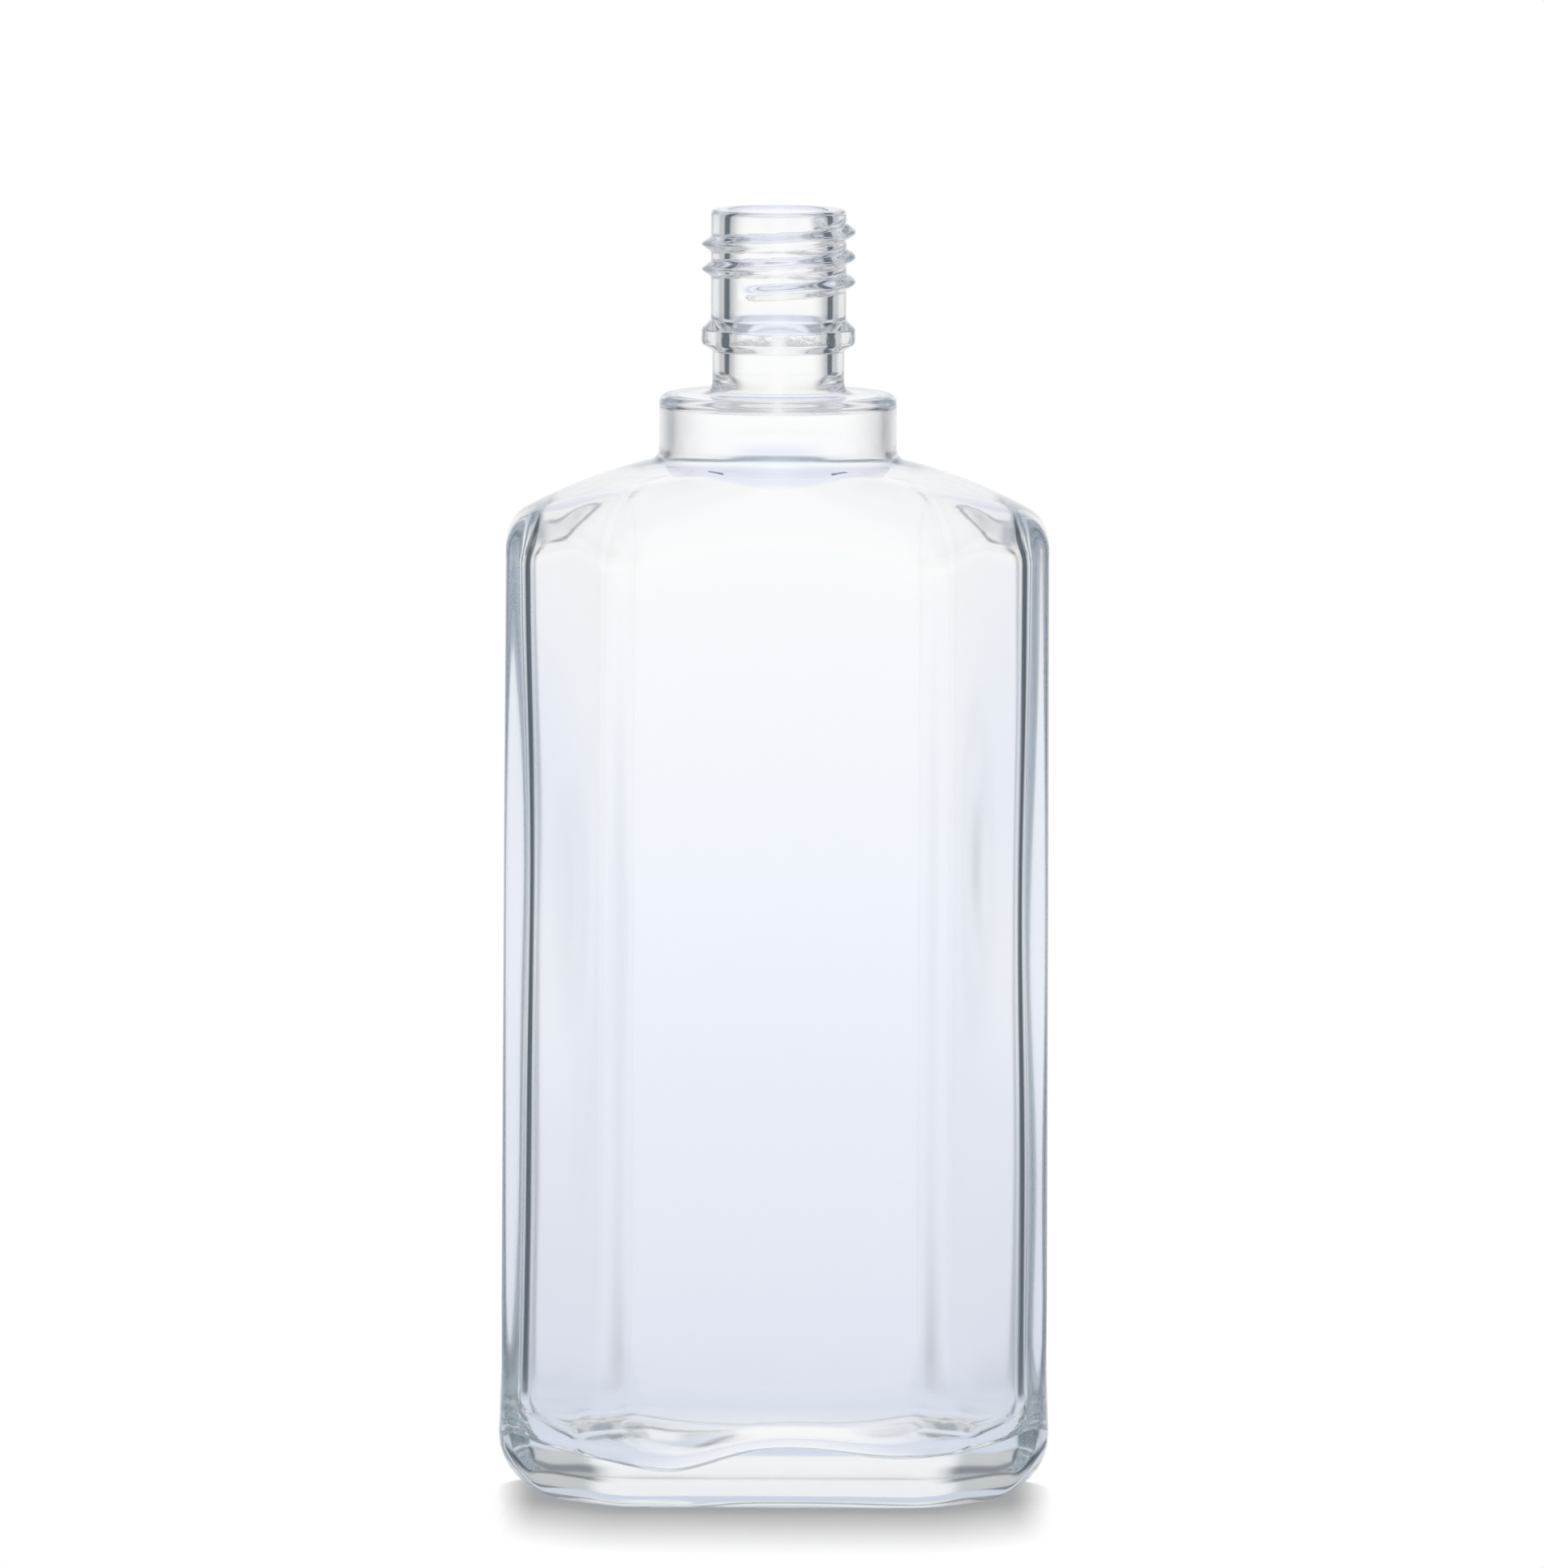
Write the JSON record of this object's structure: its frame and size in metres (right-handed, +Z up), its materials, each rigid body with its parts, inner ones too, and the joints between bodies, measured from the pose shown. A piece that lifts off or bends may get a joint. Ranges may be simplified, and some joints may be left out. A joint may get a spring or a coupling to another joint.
{
  "type": "glass flask bottle",
  "caption": "Empty clear glass flask bottle with a flat chamfered body, domed shoulder, round collar and a beaded screw-finish neck. Holds and pours a liquid.",
  "frame": {"origin": "middle of the surface that the bottle stands on", "axes": "+Z up along the neck's axis, out of the mouth; X along the wide faces' width, Y along the depth, -Y is the face that the picture shows"},
  "size_m": [0.0986, 0.061, 0.23],
  "materials": {
    "clear_glass": "clear flint glass, fire-polished, slightly uneven inside, with a faint blue-grey cast where it is thick"
  },
  "bodies": {
    "root": {"glass_bottle": "clear_glass"}
  },
  "joints": []
}
